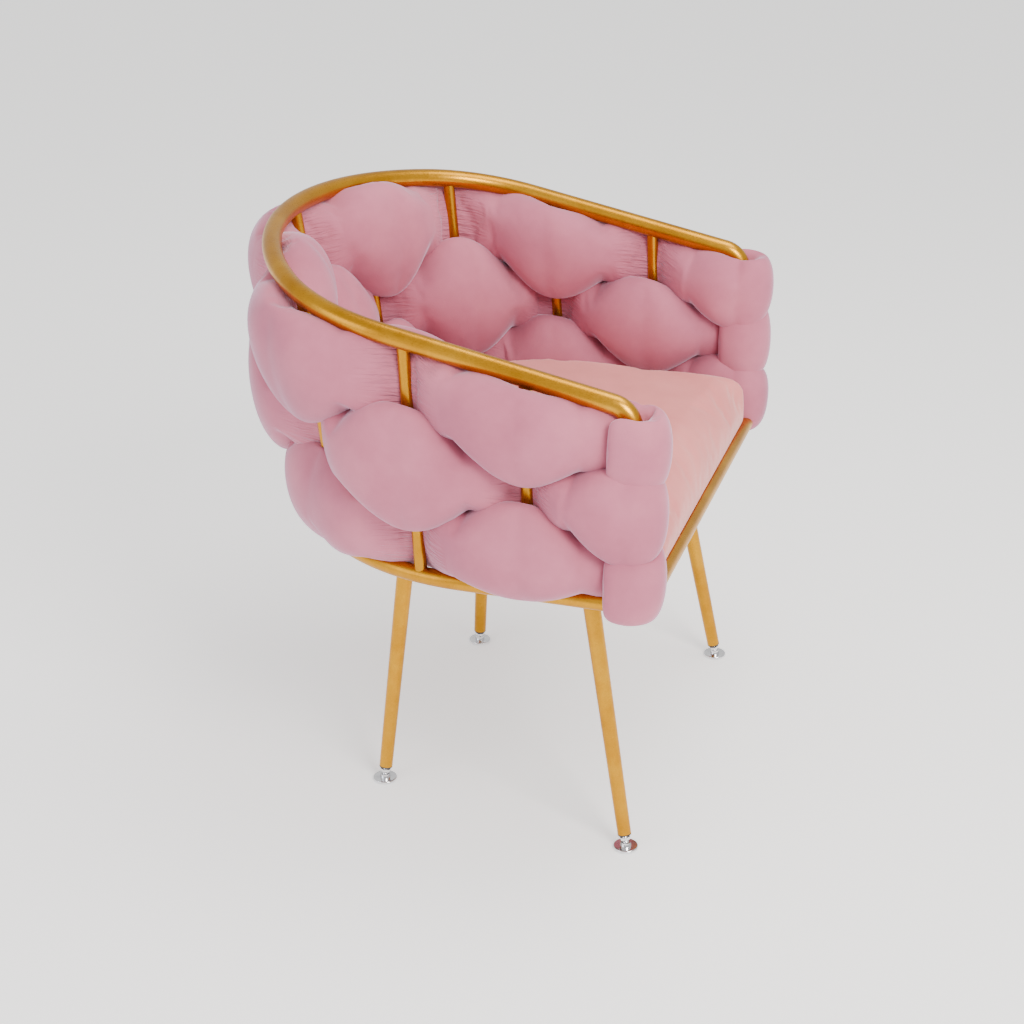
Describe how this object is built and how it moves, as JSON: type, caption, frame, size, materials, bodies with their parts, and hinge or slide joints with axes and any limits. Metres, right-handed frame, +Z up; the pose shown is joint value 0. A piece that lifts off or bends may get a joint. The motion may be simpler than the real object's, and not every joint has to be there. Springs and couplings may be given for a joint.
{
  "type": "chair",
  "caption": "Tub chair with a bent gold tube frame, interwoven padded velvet strips round the back and sides, a padded seat and splayed legs on levelling glides.",
  "frame": {"origin": "on the floor, at the bottom centre of the whole chair's box, to within 5 mm front to back", "axes": "+Z up, -Y the way the sitter faces, +X to the sitter's left, X = 0 the plane of symmetry"},
  "size_m": [0.7596, 0.6536, 0.7515],
  "materials": {
    "gold_metal": "satin brushed gold plating on steel tube",
    "frame_steel": "satin gold powder coat",
    "zinc_steel": "zinc plated",
    "insert_plastic": "black moulded plastic",
    "chrome": "polished",
    "pad_plastic": "black felt-faced plastic",
    "plywood": "unfinished birch plywood",
    "dust_fabric": "black non-woven cloth",
    "seat_velvet": "short-pile velvet over foam",
    "strip_velvet": "short-pile velvet over foam filling"
  },
  "bodies": {
    "frame": {"cross_rail_back": "frame_steel", "cross_rail_front": "frame_steel", "dust_cover": "dust_fabric", "front_bar": "gold_metal", "leg_back_left": "gold_metal", "leg_back_right": "gold_metal", "leg_bolts": "zinc_steel", "leg_front_left": "gold_metal", "leg_front_right": "gold_metal", "leg_insert_back_left": "insert_plastic", "leg_insert_back_right": "insert_plastic", "leg_insert_front_left": "insert_plastic", "leg_insert_front_right": "insert_plastic", "leg_plate_back_left": "frame_steel", "leg_plate_back_right": "frame_steel", "leg_plate_front_left": "frame_steel", "leg_plate_front_right": "frame_steel", "seat_board": "plywood", "seat_cushion": "seat_velvet", "seat_hoop": "gold_metal", "seat_screws": "zinc_steel", "tee_nuts": "zinc_steel", "top_rail": "gold_metal", "upright_back": "gold_metal", "upright_left_1": "gold_metal", "upright_left_2": "gold_metal", "upright_left_3": "gold_metal", "upright_left_4": "gold_metal", "upright_right_1": "gold_metal", "upright_right_2": "gold_metal", "upright_right_3": "gold_metal", "upright_right_4": "gold_metal", "weld_nuts": "zinc_steel", "woven_strip_bottom": "strip_velvet", "woven_strip_middle": "strip_velvet", "woven_strip_top": "strip_velvet"},
    "foot_front_left": {"glide_disc_front_left": "chrome", "glide_pad_front_left": "pad_plastic"},
    "stem_front_left": {"glide_stem_front_left": "chrome"},
    "foot_front_right": {"glide_disc_front_right": "chrome", "glide_pad_front_right": "pad_plastic"},
    "stem_front_right": {"glide_stem_front_right": "chrome"},
    "foot_back_left": {"glide_disc_back_left": "chrome", "glide_pad_back_left": "pad_plastic"},
    "stem_back_left": {"glide_stem_back_left": "chrome"},
    "foot_back_right": {"glide_disc_back_right": "chrome", "glide_pad_back_right": "pad_plastic"},
    "stem_back_right": {"glide_stem_back_right": "chrome"}
  },
  "joints": [
    {"name": "height_front_left", "type": "slide", "parent": "frame", "child": "foot_front_left", "axis": [-0.1094, -0.1841, -0.9768], "range_m": [-0.0025, 0.01]},
    {"name": "turn_front_left", "type": "hinge", "parent": "foot_front_left", "child": "stem_front_left", "pos_m": [-0.272, -0.267, 0], "axis": [-0.1094, -0.1841, -0.9768], "range_deg": [-730, 2890]},
    {"name": "height_front_right", "type": "slide", "parent": "frame", "child": "foot_front_right", "axis": [0.1094, -0.1841, -0.9768], "range_m": [-0.0025, 0.01]},
    {"name": "turn_front_right", "type": "hinge", "parent": "foot_front_right", "child": "stem_front_right", "pos_m": [0.272, -0.267, 0], "axis": [0.1094, -0.1841, -0.9768], "range_deg": [-730, 2890]},
    {"name": "height_back_left", "type": "slide", "parent": "frame", "child": "foot_back_left", "axis": [-0.1243, 0.0784, -0.9891], "range_m": [-0.0025, 0.01]},
    {"name": "turn_back_left", "type": "hinge", "parent": "foot_back_left", "child": "stem_back_left", "pos_m": [-0.209, 0.093, 0], "axis": [-0.1243, 0.0784, -0.9891], "range_deg": [-730, 2890]},
    {"name": "height_back_right", "type": "slide", "parent": "frame", "child": "foot_back_right", "axis": [0.1243, 0.0784, -0.9891], "range_m": [-0.0025, 0.01]},
    {"name": "turn_back_right", "type": "hinge", "parent": "foot_back_right", "child": "stem_back_right", "pos_m": [0.209, 0.093, 0], "axis": [0.1243, 0.0784, -0.9891], "range_deg": [-730, 2890]}
  ],
  "couplings": [
    {"joint": "turn_front_left", "follows": "height_front_left", "rad_per_m": 5026.5},
    {"joint": "turn_front_right", "follows": "height_front_right", "rad_per_m": 5026.5},
    {"joint": "turn_back_left", "follows": "height_back_left", "rad_per_m": 5026.5},
    {"joint": "turn_back_right", "follows": "height_back_right", "rad_per_m": 5026.5}
  ]
}
